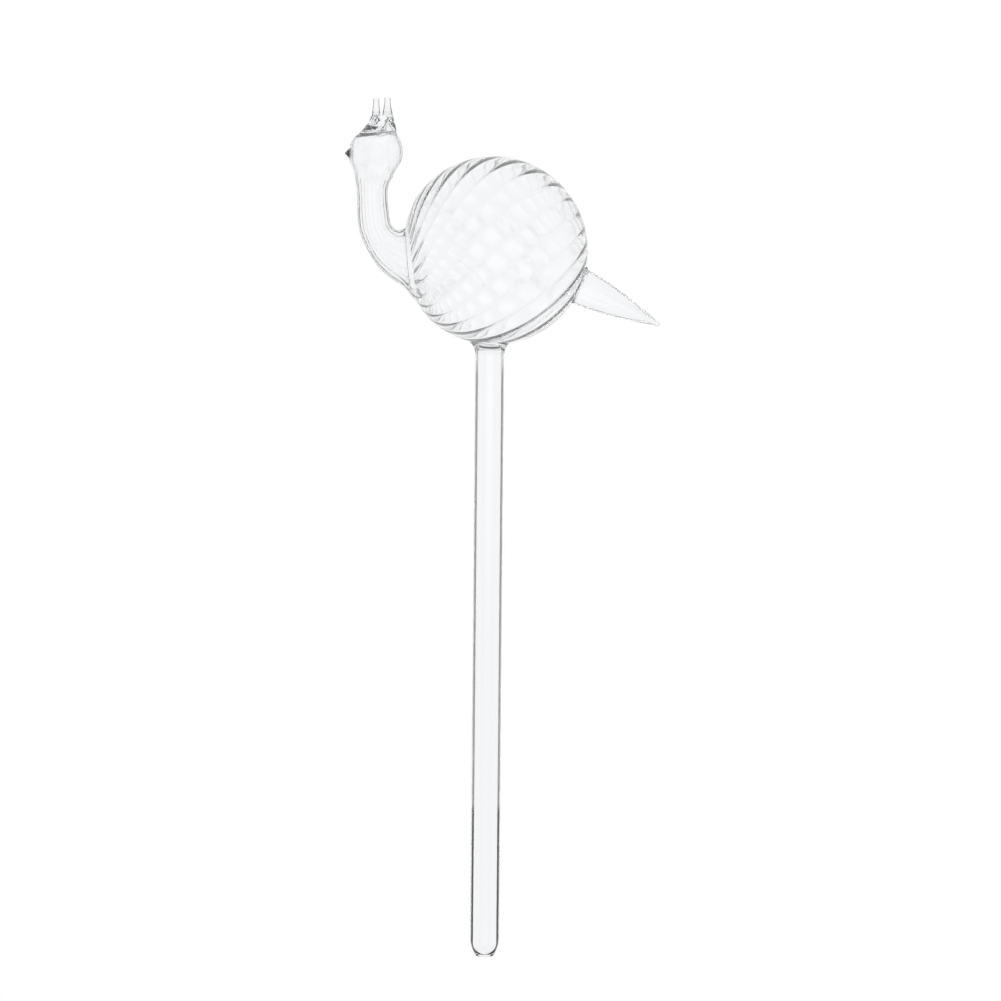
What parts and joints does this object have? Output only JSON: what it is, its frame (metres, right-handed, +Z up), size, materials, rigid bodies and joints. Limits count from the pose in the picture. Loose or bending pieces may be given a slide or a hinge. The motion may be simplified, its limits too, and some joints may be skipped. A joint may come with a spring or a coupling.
{
  "type": "watering globe",
  "caption": "Clear ribbed glass water reservoir shaped as a bird, on a long hollow stem that is pushed into a pot's soil and lets the water out.",
  "frame": {"origin": "middle of the stem's open mouth, at its lowest end", "axes": "+Z up the stem's axis to the globe and the head, the bird faces -X and its tail points to +X, -Y is its left side"},
  "size_m": [0.1009, 0.0598, 0.275],
  "materials": {
    "clear_glass": "clear fire-polished",
    "smoke_glass": "dark grey fire-polished"
  },
  "bodies": {
    "root": {"blown_body": "clear_glass", "crest_gather": "clear_glass", "crest_spike_front": "clear_glass", "crest_spike_rear": "clear_glass", "beak": "smoke_glass", "tail_weld": "clear_glass", "tail_cone": "clear_glass", "tail_bead": "clear_glass", "stem_collar": "clear_glass", "stem_tube": "clear_glass"}
  },
  "joints": []
}
